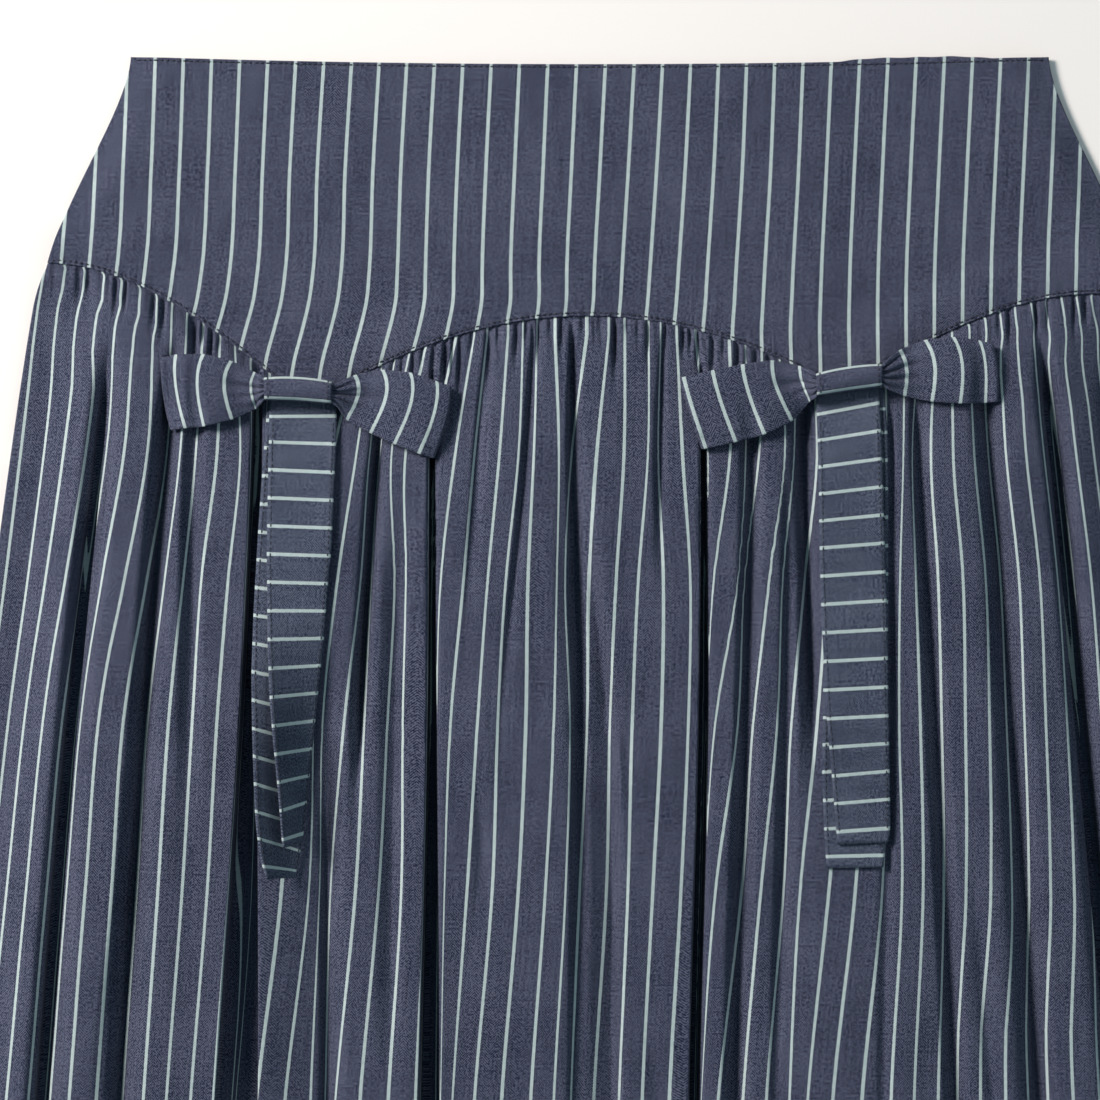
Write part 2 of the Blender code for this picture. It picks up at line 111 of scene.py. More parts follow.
# the pale stripes of the gathered front: x in picture points at six picture heights
TRACK_Y = (335, 450, 580, 720, 880, 1094)
TRACKS = [
    # stripe, x335, x450, x580, x720, x880, x1094
    (-21, 171, 166, 147, 125, 114, 98),
    (-20, 186, 181, 165, 147, 137, 122),
    (-19, 202, 196, 184, 170, 160, 145),
    (-18, 219, 218, 202, 193, 184, 168),
    (-17, 233, 241, 229, 218, 209, 192),
    (-16, 249, 252.5, 247.5, 242.5, 230.5, 214.5),
    (-15, 270, 266, 262, 256, 248, 231),
    (-14, 300, 281, 270, 264, 255, 234.5),
    (-13, 334, 307, 297, 290, 283, 258),
    (-12, 361, 333, 317, 314, 310, 286),
    (-11, 373, 357, 338, 323, 320, 311),
    (-10, 385, 370, 361, 345, 331, 325),
    (-9, 398, 380, 371, 364.5, 357, 336),
    (-8, 412, 392, 395, 388, 380, 361),
    (-7, 427, 406, 406, 403, 402, 389),
    (-6, 456, 433, 431, 431, 426, 416),
    (-5, 474, 456, 441, 437, 438, 437),
    (-4, 487, 475, 464, 451, 445, 441),
    (-3, 508, 500, 488, 478, 468, 453),
    (-2, 523, 519, 506, 498, 493, 475),
    (-1, 537, 534, 528, 526, 519, 502),
    (0, 555, 559, 557, 554, 546, 531),
    (1, 587, 572, 565, 570, 566, 554),
    (2, 609, 597, 589, 587, 580, 571),
    (3, 625, 624, 616, 610, 607, 594),
    (4, 649, 648, 638, 632, 628, 619),
    (5, 661, 658, 663, 661, 653, 642),
    (6, 677, 682, 690, 688, 681, 669),
    (7, 696, 707, 704.5, 704, 700.5, 695.5),
    (8, 730, 730, 713, 706.5, 702.5, 697),
    (9, 746, 746, 738, 715, 704.5, 698.5),
    (10, 763, 759, 744, 738, 716, 701),
    (11, 779, 785, 769, 753, 743, 718),
    (12, 795, 794, 782, 777, 761, 743),
    (13, 812, 817, 805, 791, 784, 766),
    (14, 830, 832, 826, 817, 800, 789),
    (15, 848, 850, 848, 842, 829, 807),
    (16, 868, 868, 866, 864, 855, 832),
    (17, 886, 886, 884, 884, 882, 861),
    (18, 905, 903, 899, 898, 901, 890),
    (19, 921, 912, 915, 919, 922, 913),
    (20, 937, 930, 937, 941, 944, 937),
]
SIDE_STRIPES = (-28.5, 33.3)  # where the sides are, counted in stripes
TRACK_D = np.array([(y - PY) * K for y in TRACK_Y] + [LENGTH])
TRACK_X = np.array([[(x - PX) * K for x in row[1:]] + [(row[-1] - PX) * K * 1.1] for row in TRACKS])
TRACK_SLOPE = np.gradient(TRACK_X, TRACK_D, axis=1)
TRACK_U = np.array([SIDE_STRIPES[0], *(row[0] for row in TRACKS), SIDE_STRIPES[1]]) * PITCH

# short puckers that start at the yoke's edge
PUCKERS = [
    # x in picture points, length, depth, width
    (193, 26, 2.6, 2.4),
    (201, 13, 1.1, 1.6),
    (210, 24, 1.5, 2.0),
    (219, 12, 0.9, 1.6),
    (381, 10, 0.9, 1.6),
    (393, 14, 1.2, 1.7),
    (402, 17, 1.3, 1.6),
    (413, 20, 1.5, 1.8),
    (422, 12, 0.9, 1.5),
    (434, 15, 1.2, 1.9),
    (445, 30, 1.8, 2.2),
    (452, 22, 1.5, 1.5),
    (460, 36, 1.5, 2.0),
    (471, 12, 1.1, 1.5),
    (489, 34, 1.6, 2.0),
    (497, 12, 1.0, 1.5),
    (516, 22, 1.6, 2.0),
    (526, 12, 0.9, 1.4),
    (538, 30, 1.6, 1.8),
    (549, 11, 1.0, 1.6),
    (561, 20, 1.2, 1.6),
    (583, 10, 0.8, 1.7),
    (599, 12, 0.8, 2.0),
    (615, 24, 1.6, 2.0),
    (627, 10, 0.9, 1.6),
    (638, 13, 1.0, 1.9),
    (648, 22, 1.2, 1.6),
    (666, 16, 1.3, 1.5),
    (683, 16, 1.5, 1.9),
    (690, 12, 1.2, 1.4),
    (698, 20, 1.6, 1.6),
    (713, 22, 1.6, 2.0),
    (724, 12, 1.0, 1.5),
    (738, 18, 1.5, 1.8),
    (747, 12, 1.0, 1.4),
    (757, 14, 1.2, 1.6),
    (770, 20, 1.4, 1.9),
]


def soft(t):
    t = np.clip(t, 0.0, 1.0)
    return t * t * (3 - 2 * t)


def through(d, places, stations=STATIONS):
    """A smooth line through places at the stations."""
    places = np.asarray(places, float)
    slope = np.gradient(places, stations)
    d = np.clip(d, stations[0], stations[-1])
    i = np.clip(np.searchsorted(stations, d, side="right") - 1, 0, len(stations) - 2)
    h = stations[i + 1] - stations[i]
    t = (d - stations[i]) / h
    return (
        (2 * t**3 - 3 * t**2 + 1) * places[i]
        + (t**3 - 2 * t**2 + t) * h * slope[i]
        + (3 * t**2 - 2 * t**3) * places[i + 1]
        + (t**3 - t**2) * h * slope[i + 1]
    )


def wobble(x, y, seed=0.0):
    """A smooth, even mix of waves, about -1 to 1, for unevenness that looks unplanned."""
    return (
        np.sin(x * 1.0 + y * 0.37 + seed * 1.7)
        + 0.7 * np.sin(x * 1.83 - y * 0.71 + seed * 3.1 + 1.3)
        + 0.5 * np.sin(x * 0.41 + y * 1.31 + seed * 0.9 + 4.0)
        + 0.4 * np.sin(x * 2.71 + y * 1.07 + seed * 2.3 + 2.2)
    ) / 2.2


def seam(x):
    middle = 98.7 + 0.00295 * (x + 1) ** 2
    left = TIP_L - 49 * np.sin(math.pi / 2 * np.clip((-x - 118) / 95, 0, 1))
    right = TIP_R - 34 * np.sin(math.pi / 2 * np.clip((x - 104) / 95, 0, 1))
    tip = np.where(x < 0, TIP_L, TIP_R)
    return np.where(x < -106, left, np.where(x > 97, right, np.minimum(middle, tip)))


def half_width(d):
    return WAIST_HALF + YOKE_FLARE * soft((d + 3) / 100) ** 0.8 + HEM_FLARE * np.clip((d - 80) / (LENGTH - 80), 0, 1) ** 0.85


def waist(x):
    return -WAIST_RISE * (np.abs(x) / WAIST_HALF) ** 2


def fold_line(fold, d):
    return through(d, fold[1:6])


def front_top(x, d, gaps=GAPS):
    """The front's outer surface: puffed gathers, deep and soft valleys, puckers under the yoke's edge."""
    t = d - seam(x)
    lap = 3.0 + WALL + 0.85
    crest = lap + 2.3 * (1 - np.exp(-np.maximum(t, 0) / 2.6))
    crest = crest + (PUFF + WALL - lap - 2.3) * (1 - np.exp(-np.maximum(t - 1.0, 0) / 28.0)) - 3 * soft((d - 500) / 250)
    crest = crest + 0.9 * soft((t - 15) / 60) * wobble(x / 26, d / 90, 1) + 0.32 * soft((t - 6) / 30) * wobble(x / 5.2, d / 55, 4)
    edge = soft((half_width(d) - np.abs(x)) / 48.0)
    low = lap - 2.6 * soft((t - 3) / 20)
    z = low + (crest - low) * edge
    for fold in FOLDS:
        start, full, fade, gone, deep, wl, wr, widen = fold[6:]
        xc = fold_line(fold, d)
        live = soft((d - start) / (full - start)) * (1 - soft((d - fade) / (gone - fade)))
        w = (1 + (widen - 1) * np.clip((d - 150) / 253, 0, 1.6)) * (0.5 + 0.5 * soft(t / 45))
        s = np.clip(np.where(x < xc, (xc - x) / (wl * w), (x - xc) / (wr * w)), 0, 1.4)
        sharp = 0.75 if deep >= 9 else 0.3
        cusp = np.clip(1 - s / 1.4, 0, 1) ** 2.4
        z = z - deep * live * (0.55 + 0.45 * soft(t / 35)) * (sharp * cusp + (1 - sharp) * np.clip(1 - s * s, 0, 1) ** 2)
    for _, x110, x150, x250, x403, xhem, start, full, deep, *halves in gaps:
        away = np.abs(x - through(d, (x110, x150, x250, x403, xhem)))
        z = z - deep * soft((d - start) / (full - start)) * (1 - soft((away - through(d, halves)) / 1.3))
    for _, *places, d_from, d_to, deep, width in TROUGHS:
        far = np.clip((d - d_from) / (d_to - d_from), 0, 1)
        off = (x - through(far, places, np.linspace(0, 1, 5))) / width
        z = z - deep * np.sin(math.pi * far) ** 1.2 * np.exp(-off * off * np.where(off < 0, 2.2, 1.0))
    for px_x, length, depth, width in PUCKERS + OUTER_PUCKERS:
        xc = (px_x - PX) * K + (d - 110) * -0.02
        live = soft((t + 0.5) / 2.0) * (1 - soft((t - 0.25 * length) / (0.75 * length)))
        w = width * (1 + 0.6 * soft(t / length))
        z = z - 1.9 * depth * live * np.exp(-(((x - xc) / (0.43 * w)) ** 2))
    # fine gathers all along the edge
    fine = np.sin(x * 1.7 + 2.6 * np.sin(x * 0.17) + 1.1 * np.sin(x * 0.47)) * (0.6 + 0.4 * np.sin(x * 0.33 + 1.0))
    z = z + 0.5 * fine * soft((t + 0.5) / 2.0) * (1 - soft((t - 3 - 3 * np.sin(x * 0.29)) / 12))
    floor = lap - 0.9 - 1.5 * soft((t - 2) / 20)
    z = floor + 0.6 * np.log1p(np.exp((z - floor) / 0.6))
    return lap + (z - lap) * soft((t + 0.9) / 2.4)


def sunk_front(x, d):
    """How far the gaps sink the front. Low down, the wide left gap's floor lies flat and its stripes show whole."""
    flat = soft((d - 265) / 125) * soft((-112 - x) / 6) * soft((x + 172) / 6)
    return (front_top(x, d, []) - front_top(x, d)) * (1 - flat)


OUTER_PUCKERS = [
    # the same on the parts that the photo doesn't show
    (590 + s * (405 + 19 * k + 5 * math.sin(3.1 * k + s)), 14 + 8 * abs(math.sin(1.9 * k)), 1.1 + 0.5 * math.sin(2.3 * k) ** 2, 1.7 + 0.4 * math.cos(k))
    for s in (-1, 1)
    for k in range(7)
]

BACK_FOLDS = [
    # name, xtop, xhem, high, width
    ("a", -203, -253, 3.2, 8),
    ("b", -176, -222, 3.0, 7),
    ("c", -143, -178, 2.6, 7),
    ("d", -33, -30, 3.4, 9),
    ("e", 17, 16, 3.6, 9),
    ("f", 100, 108, 3.2, 9),
    ("g", 141, 178, 3.0, 8),
    ("h", 166, 213, 3.0, 7),
    ("i", 191, 245, 3.2, 8),
]


def back_bottom(x, d):
    """The back's outer surface on the table: pressed pleats, and small gathers by the yoke's edge."""
    t = d - seam(x)
    z = (WALL + 0.3) * (1 - soft((t - 1.0) / 12))
    for _, xtop, xhem, high, width in BACK_FOLDS:
        xc = xtop + (xhem - xtop) * (d - 110) / (LENGTH - 110)
        s = (x - xc) / width
        z = z + high * soft((t - 14) / 45) * np.clip(1 - s * s, 0, 1) ** 2
    ripple = np.clip(np.sin(x * 0.62 + 0.8 * np.sin(x * 0.13)), 0, 1) ** 2
    return z + 0.7 * ripple * soft((t - 1) / 6) * (1 - soft((t - 14) / 26))


def yoke_top(x, d):
    t = d - seam(x)
    z = 3.0 + WALL + 1.75 * soft((t + 24) / 15)
    edge = soft((half_width(d) - np.abs(x)) / 14.0)
    low = 2.0 + (z - 2.0) * soft((t + 24) / 15)
    z = low + (z - low) * edge
    z = z + 0.45 * wobble(x / 34, d / 40, 5) * soft((d - 8) / 30) * edge
    # the gathers' bulk shows through the edge a little
    z = z + 0.2 * np.sin(x * 0.9 + 1.5 * np.sin(x * 0.21)) * soft((t + 8) / 7)
    z = z + 0.16 * np.sin(x * 2.73) * np.exp(-(((t + 0.9) / 1.3) ** 2))
    # the dip that the edge stitches pull
    return z - 0.22 * np.exp(-(((t + 1.25) / 0.5) ** 2)) - 0.15 * np.exp(-(((d - waist(x) - 1.1) / 0.5) ** 2))


# ---------------------------------------------------------------- meshes
def mesh_object(name, verts, faces, uv=None, smooth=True):
    """verts in mm as x, d, z. uv holds a pair in metres for each vertex."""
    verts = np.asarray(verts, float)
    world = np.stack([verts[:, 0] / 1000, (MID - verts[:, 1]) / 1000, verts[:, 2] / 1000], axis=1)
    mesh = bpy.data.meshes.new(name)
    mesh.from_pydata(world.tolist(), [], faces if isinstance(faces, list) else faces.tolist())
    if uv is not None:
        layer = mesh.uv_layers.new(name="cloth")
        loops = np.zeros(len(mesh.loops), np.int32)
        mesh.loops.foreach_get("vertex_index", loops)
        layer.data.foreach_set("uv", np.asarray(uv, np.float32)[loops].ravel())
    mesh.update()
    if smooth:
        mesh.polygons.foreach_set("use_smooth", [True] * len(mesh.polygons))
    obj = bpy.data.objects.new(name, mesh)
    bpy.context.scene.collection.objects.link(obj)
    return obj


def grid_faces(rows, cols, closed=False):
    j, i = np.meshgrid(np.arange(rows if closed else rows - 1), np.arange(cols - 1), indexing="ij")
    a = j * cols + i
    b = ((j + 1) % rows) * cols + i
    return np.stack([a, b, b + 1, a + 1], axis=-1).reshape(-1, 4)


def cloth_sheet(name, points, uv, thick=CLOTH, side=-1, closed=False):
    rows, cols = points.shape[:2]
    obj = mesh_object(name, points.reshape(-1, 3), grid_faces(rows, cols, closed), uv.reshape(-1, 2) / 1000)
    mod = obj.modifiers.new("cloth", "SOLIDIFY")
    mod.thickness = thick / 1000
    mod.offset = side
    mod.use_even_offset = False
    return obj


def columns(height, d_of, half, count, even):
    """x places along one row, closer together where the cloth bends."""
    xs = np.linspace(-half, half, 4801)
    z = height(xs, d_of(xs))
    slope = np.gradient(z, xs)
    bend = np.sqrt(np.abs(np.gradient(slope, xs)))
    kernel = np.exp(-0.5 * (np.arange(-20, 21) / 7.0) ** 2)
    bend = np.convolve(bend, kernel / kernel.sum(), mode="same")
    step = xs[1] - xs[0]
    dense = even + bend * max((count - 1) - even * 2 * half, 1) / max(bend.sum() * step, 1e-6)
    total = np.concatenate([[0], np.cumsum((dense[1:] + dense[:-1]) / 2 * step)])
    return np.interp(np.linspace(0, total[-1], count), total, xs)


def smooth_map(at, s, places):
    """A smooth line that never turns back, through places at the stations s, evaluated at each value of at."""
    h = np.diff(s)
    m = np.diff(places) / h
    slope = np.zeros(len(s))
    w1, w2 = 2 * h[1:] + h[:-1], h[1:] + 2 * h[:-1]
    slope[1:-1] = (w1 + w2) / (w1 / m[:-1] + w2 / m[1:])
    slope[0], slope[-1] = m[0], m[-1]
    i = np.clip(np.searchsorted(s, at, side="right") - 1, 0, len(s) - 2)
    t = (np.clip(at, s[0], s[-1]) - s[i]) / h[i]
    return (
        (2 * t**3 - 3 * t**2 + 1) * places[i]
        + (t**3 - 2 * t**2 + t) * h[i] * slope[i]
        + (3 * t**2 - 2 * t**3) * places[i + 1]
        + (t**3 - t**2) * h[i] * slope[i + 1]
    )


def tracks_at(d):
    """x of every stripe, with the sides first and last, at the d given for each."""
    i = np.clip(np.searchsorted(TRACK_D, np.clip(d, TRACK_D[0], TRACK_D[-1]), side="right") - 1, 0, len(TRACK_D) - 2)
    rows = np.arange(len(TRACK_X))
    h = TRACK_D[i + 1] - TRACK_D[i]
    t = (np.clip(d, TRACK_D[0], TRACK_D[-1]) - TRACK_D[i]) / h
    return (
        (2 * t**3 - 3 * t**2 + 1) * TRACK_X[rows, i]
        + (t**3 - 2 * t**2 + t) * h * TRACK_SLOPE[rows, i]
        + (3 * t**2 - 2 * t**3) * TRACK_X[rows, i + 1]
        + (t**3 - t**2) * h * TRACK_SLOPE[rows, i + 1]
    )


def cloth_width(height, d_of, half, x, zero):
    """The cloth's own coordinate across, at each x of a row. Between two stripes it grows as the
    folded row is long; without a line zero the stripes follow the tracks."""
    xs = np.linspace(-half, half, 6401)
    z = height(xs, d_of(xs))
    step = xs[1] - xs[0]
    run = step * np.sqrt(1 + 0.7 * np.minimum((np.diff(z) / step) ** 2, 1.2))
    s = np.concatenate([[0], np.cumsum(run)])
    if zero is not None:
        return np.interp(x, xs, s) - np.interp(zero, xs, s)
    place = tracks_at(np.full(len(TRACK_X), float(d_of(np.array([0.0]))[0])))
    for _ in range(5):
        place = 0.5 * place + 0.5 * tracks_at(d_of(place))
    place = np.concatenate([[-half], place, [half]])
    marks = np.interp(place, xs, s)
    keep = np.concatenate([[True], np.diff(marks) > 0.4])
    return smooth_map(np.interp(x, xs, s), marks[keep], TRACK_U[keep])


def panel(name, height, below, count, even, zero_line, side, sunk=None):
    def line(m):
        turned = float(soft((m - 10) / 90))
        level = float(soft(m / 645))

        def d_of(x):
            return seam(x) * (1 - turned) + 112 * turned + m - HEM_RISE * level * (x / 290) ** 2

        ends = []
        for end in (-1, 1):
            half = half_width(float(d_of(np.array([end * 213.0]))[0]))
            ends.append(half_width(float(d_of(np.array([end * half]))[0])))
        return d_of, ends

    d_first, (_, half_first) = line(7.0)
    shared = columns(height, d_first, half_first, count, even) / half_first
    points, uv = [], []
    for m in below:
        d_of, ends = line(m)
        left, half = (end - 1.2 * (m < 0) for end in ends)
        if m <= 20:
            x = shared * half
        else:
            own = float(soft((m - 20) / 70))
            x = columns(height, d_of, half, count, even) * own + shared * half * (1 - own)
        x = np.where(x < 0, x * (left / half), x)
        d = d_of(x)
        zero = None if zero_line is None else float(zero_line(float(np.clip(112 + m, 100, LENGTH))))
        u = cloth_width(height, d_of, half, x, zero)
        if sunk is not None:
            # the cloth that goes down a gap's one side and up its other side
            u = u + 0.9 * sunk(x, d)
        points.append(np.stack([x, d, height(x, d)], axis=1))
        uv.append(np.stack([u, d], axis=1))
    return cloth_sheet(name, np.array(points), np.array(uv), CLOTH, side)


below_front = np.concatenate(
    [
        [-8, -1.2, -0.3, 0.4, 1.1, 2, 3, 4.2, 5.6, 7.2, 9, 11, 13.5, 16.5, 20],
        np.arange(24, 64, 5.0),
        np.arange(66, 310, 10.0),
        np.linspace(322, 645, 9),
    ]
)
skirt_front = panel("skirt_front_cloth", front_top, below_front, 840, 1.2, None, -1, sunk_front)

below_back = np.concatenate([[-8, -2, 0, 1.5, 3, 5, 8, 11, 14, 18, 23, 30, 40, 52], np.linspace(66, 645, 36)])
skirt_back = panel("skirt_back_cloth", back_bottom, below_back, 240, 0.3, lambda d: 3.0 - 0.03 * (d - 110), 1)


# ---- yoke
YOKE_SHIFTS = [
    # picture height, then the shift at picture places 210, 320, 430, 540, 650, 760 and 870
    (60, 0, -0.5, -2.5, -2.2, 0, -0.8, -0.6),
    (170, -4, -7.3, -8.5, -7, -6.3, -5, -6),
    (270, -10, -11.3, -11.8, -11, -13, -11, -10.2),
    (300, -14.5, -15.3, -12.6, -11, -15.2, -12.6, -10.8),
    (330, -22.5, -22.4, -18.4, -15, -18, -14.4, -11),
    (360, -30, -30, -26, -18, -20, -13.5, -10.8),
    (390, -34, -35, -30, -20, -22, -13, -10.8),
]


def yoke_shift(px_x, px_y):
    """How far the yoke's stripes lie to the right of where they start at the waist, in picture points."""
    table = np.array(YOKE_SHIFTS, float)
    across = np.array([210.0, 320, 430, 540, 650, 760, 870])
    gradient = np.gradient(table[:, 1:], table[:, 0], axis=0)
    y = np.clip(px_y, table[0, 0], table[-1, 0])
    i = np.clip(np.searchsorted(table[:, 0], y, side="right") - 1, 0, len(table) - 2)
    h = table[i + 1, 0] - table[i, 0]
    t = (y - table[i, 0]) / h
    values = [
        (2 * t**3 - 3 * t**2 + 1) * table[i, 1 + c]
        + (t**3 - 2 * t**2 + t) * h * gradient[i, c]
        + (3 * t**2 - 2 * t**3) * table[i + 1, 1 + c]
        + (t**3 - t**2) * h * gradient[i + 1, c]
        for c in range(len(across))
    ]
    x = np.clip(px_x, across[0], across[-1])
    k = np.clip(((x - 210) / 110).astype(int), 0, len(across) - 2)
    f = (x - across[k]) / 110
    f = f * f * (3 - 2 * f) * 0.5 + f * 0.5
    values = np.array(values)
    rows = np.arange(values.shape[1])
    return values[k, rows] * (1 - f) + values[k + 1, rows] * f


def yoke_piece(name, height, rows, cols, side, inset=0.0, lower=0.0, thick=CLOTH, stripes=yoke_shift, scallop=0.0):
    points, uv = [], []
    for f in rows:
        s = np.linspace(-1, 1, cols)
        x = s * (half_width(f * 80.0) - inset)
        for _ in range(3):
            d = waist(x) * (1 - f) + seam(x) * f
            x = s * (half_width(d) - inset)
        d = waist(x) * (1 - f) + seam(x) * f + lower * (1 - f)
        px_x, px_y = x / K + PX, d / K + PY
        u = (px_x - stripes(px_x, px_y) - 210) * K
        z = height(x, d)
        d = d + scallop * float(soft((f - 0.975) / 0.025)) * (np.sin(x * 2.73) + 0.8 * wobble(x * 0.9, 0 * x, 3))
        points.append(np.stack([x, d, z], axis=1))
        uv.append(np.stack([u, d], axis=1))
    return cloth_sheet(name, np.array(points), np.array(uv), thick, side)


yoke_rows = np.concatenate([[0, 0.004, 0.008, 0.012, 0.018, 0.026], np.linspace(0.05, 0.86, 26), [0.88, 0.9, 0.92, 0.94, 0.955, 0.967, 0.976, 0.982, 0.987, 0.991, 0.995, 1.0]])
yoke_front = yoke_piece("yoke_front_cloth", yoke_top, yoke_rows, 620, -1, scallop=0.16)
yoke_back = yoke_piece(
    "yoke_back_cloth", lambda x, d: 0.12 * (1 + wobble(x / 30, d / 45, 9)) * soft((half_width(d) - np.abs(x)) / 12), np.linspace(0, 1, 16), 90, 1, 0.0, 0.6
)


# ---- facing
def facing_piece():
    points, uv = [], []
    for f in (0.0, 0.01, 0.02, 0.04, 0.1, 0.3, 0.6, 1.0):
        x = np.linspace(-1, 1, 200) * (half_width(38 * f) - 13)
        peek = 1.9 * soft((x - 84) / 30) * (1 - soft((x - 140) / 30)) - 0.5
        peek = peek + 0.12 * np.sin(x * 0.5) * soft((x - 90) / 10)
        d = (waist(x) - peek) * (1 - f) + 38 * f
        z = 2.9 - 0.5 * math.exp(-f * 60) + 0 * x
        points.append(np.stack([x, d, z], axis=1))
        uv.append(np.stack([x + 4.6, d], axis=1))
    return cloth_sheet("waist_facing_cloth", np.array(points), np.array(uv), 0.6, -1)


waist_facing = facing_piece()

# ---------------------------------------------------------------- what the bows lie on
CELL = 0.75
RX0, RX1, RD0, RD1 = -185.0, 180.0, 86.0, 336.0
raster_x = np.arange(RX0, RX1, CELL)
raster_d = np.arange(RD0, RD1, CELL)
gx, gd = np.meshgrid(raster_x, raster_d)
GROUND = np.where(gd < seam(gx) + 0.2, yoke_top(gx, np.minimum(gd, seam(gx))), front_top(gx, gd))


def ground_at(x, d):
    i = np.clip(((x - RX0) / CELL), 0, len(raster_x) - 1.001)
    j = np.clip(((d - RD0) / CELL), 0, len(raster_d) - 1.001)
    i0, j0 = i.astype(int), j.astype(int)
    fi, fj = i - i0, j - j0
    g = GROUND
    return (g[j0, i0] * (1 - fi) + g[j0, i0 + 1] * fi) * (1 - fj) + (g[j0 + 1, i0] * (1 - fi) + g[j0 + 1, i0 + 1] * fi) * fj


def add_to_ground(points, top):
    """Marks a piece's points as something that later pieces lie on."""
    i = np.round((points[..., 0] - RX0) / CELL).astype(int).ravel()
    j = np.round((points[..., 1] - RD0) / CELL).astype(int).ravel()
    z = (points[..., 2] + top).ravel()
    for di in (-1, 0, 1):
        for dj in (-1, 0, 1):
            ii, jj = np.clip(i + di, 0, len(raster_x) - 1), np.clip(j + dj, 0, len(raster_d) - 1)
            np.maximum.at(GROUND, (jj, ii), z)


def drape(x, d, gap, stiff, ends=True):
    """Heights of a strap laid over the ground: it bridges what is narrow and follows what is wide."""
    high = ground_at(x, d) + gap
    z = high.copy()
    for _ in range(stiff):
        p = np.pad(z, 1, mode="edge")
        z = np.maximum(high, (p[:-2, 1:-1] + p[2:, 1:-1] + p[1:-1, :-2] + p[1:-1, 2:]) / 4)
    for _ in range(2):
        p = np.pad(z, 1, mode="edge")
        z = np.maximum(high - 0.15, (p[:-2, 1:-1] + p[2:, 1:-1] + p[1:-1, :-2] + p[1:-1, 2:] + 4 * z) / 8)
    return z


def px(x, y):
    return (x - PX) * K, (y - PY) * K


def smooth_rows(table, count):
    """Rows between those of a short table, on a smooth line, evenly spaced by the first column."""
    table = np.asarray(table, float)
    key = table[:, 0]
    places = np.linspace(key[0], key[-1], count)
    out = []
    for c in range(1, table.shape[1]):
        line = np.interp(places, key, table[:, c])
        for _ in range(6):
            line[1:-1] = (line[:-2] + 2 * line[1:-1] + line[2:]) / 4
        out.append(line)
    return places, out


def px_table(table):
    """Turns the picture places of a table (key, x, y, x, y, rest) into mm."""
    out = []
    for row in table:
        a, b = px(row[1], row[2]), px(row[3], row[4])
        out.append((row[0], *a, *b, *row[5:]))
    return out


STITCHES = []  # (name of the set, points, normals)


def tail(name, table, rows, cols, gap, stiff, curl):
    """A hanging strap end. table: stripe number, left x y, right x y in picture points, sag of the right side."""
    key, (xl, dl, xr, dr, sag) = smooth_rows(px_table(table), rows)
    v = np.linspace(0, 1, cols)[None, :]
    x = xl[:, None] + (xr - xl)[:, None] * v
    d = dl[:, None] + (dr - dl)[:, None] * v
    z = drape(x, d, gap, stiff)
    z = np.maximum(z + curl(key[:, None], v), ground_at(x, d) + 0.62)
    width = 26.5
    points = np.stack([x, d, z], axis=-1)
    uv = np.stack([np.broadcast_to(key[:, None] * PITCH, x.shape), np.broadcast_to(v * width, x.shape)], axis=-1)
    return points, uv, key


LEFT_TAIL_BACK = [
    # stripe, left x y, right x y, sag
    (-2.0, 268, 394, 330, 394, 0),
    (-1.0, 266.5, 420.5, 330, 421, 0),
    (0.0, 264.5, 448, 329, 451, 0),
    (3.0, 259, 532, 326, 538, 0),
    (6.0, 254.6, 615, 320, 624, 0),
    (8.0, 253.5, 671, 316, 684, 0),
    (10.0, 255, 727, 310, 744, 0),
    (13.0, 258, 809, 303, 826, 0),
    (14.0, 260.5, 836, 301, 851, 0),
    (15.0, 265, 863, 297, 870, 0),
    (15.4, 270, 876.5, 295, 877, 0),
]
LEFT_TAIL_FRONT = [
    (-0.8, 270, 396, 336, 392, 0),
    (0.0, 269.6, 417, 337, 416.5, 0),
    (1.0, 269.5, 442, 336.5, 444.5, 0),
    (2.0, 269, 470, 335.5, 473, 0),
    (5.0, 268, 554, 332, 556, 0),
    (6.0, 268.7, 582, 329, 583.5, 0),
    (8.0, 270, 639, 325, 638, 0),
    (10.0, 273, 696, 319, 692, 0),
    (12.0, 278, 752, 313, 748, 0),
    (14.0, 283, 808, 307, 801, 0),
    (15.0, 285, 837, 303.5, 832, 0),
    (15.3, 286, 845, 303, 842, 0),
]
RIGHT_TAIL_BACK = [
    (-2.0, 824, 392, 884, 386, 0),
    (0.0, 824, 436, 887, 432, 0),
    (5.0, 823, 580, 887, 574, 0),
    (10.0, 822, 717, 886, 712, 0),
    (12.0, 821, 771, 885, 767, 0),
    (14.0, 823, 828, 884, 824, 0),
    (15.0, 824.5, 855, 883.5, 854, 0),
    (15.4, 826, 867, 882, 866, 0),
]
RIGHT_TAIL_FRONT = [
    (-0.7, 816, 396, 879, 382, 0),
    (0.0, 816.5, 415, 879, 403.5, 0),
    (1.0, 817, 441, 880.5, 431, 0),
    (2.0, 817.7, 467.5, 881, 459, 0),
    (5.0, 818.5, 548, 883.5, 543, 0),
    (8.0, 821, 632.5, 886, 629, 0),
    (11.0, 825.5, 718, 887, 715, 0),
    (13.0, 830.5, 775, 888, 770, 0),
    (15.0, 835, 830, 889, 826, 0),
    (15.4, 836.5, 843, 887, 841, 0),
]


def finish_strap(name, points, uv, thick, top_only=False):
    add_to_ground(points, thick / 2)
    return cloth_sheet(name, points, uv, thick, 0)


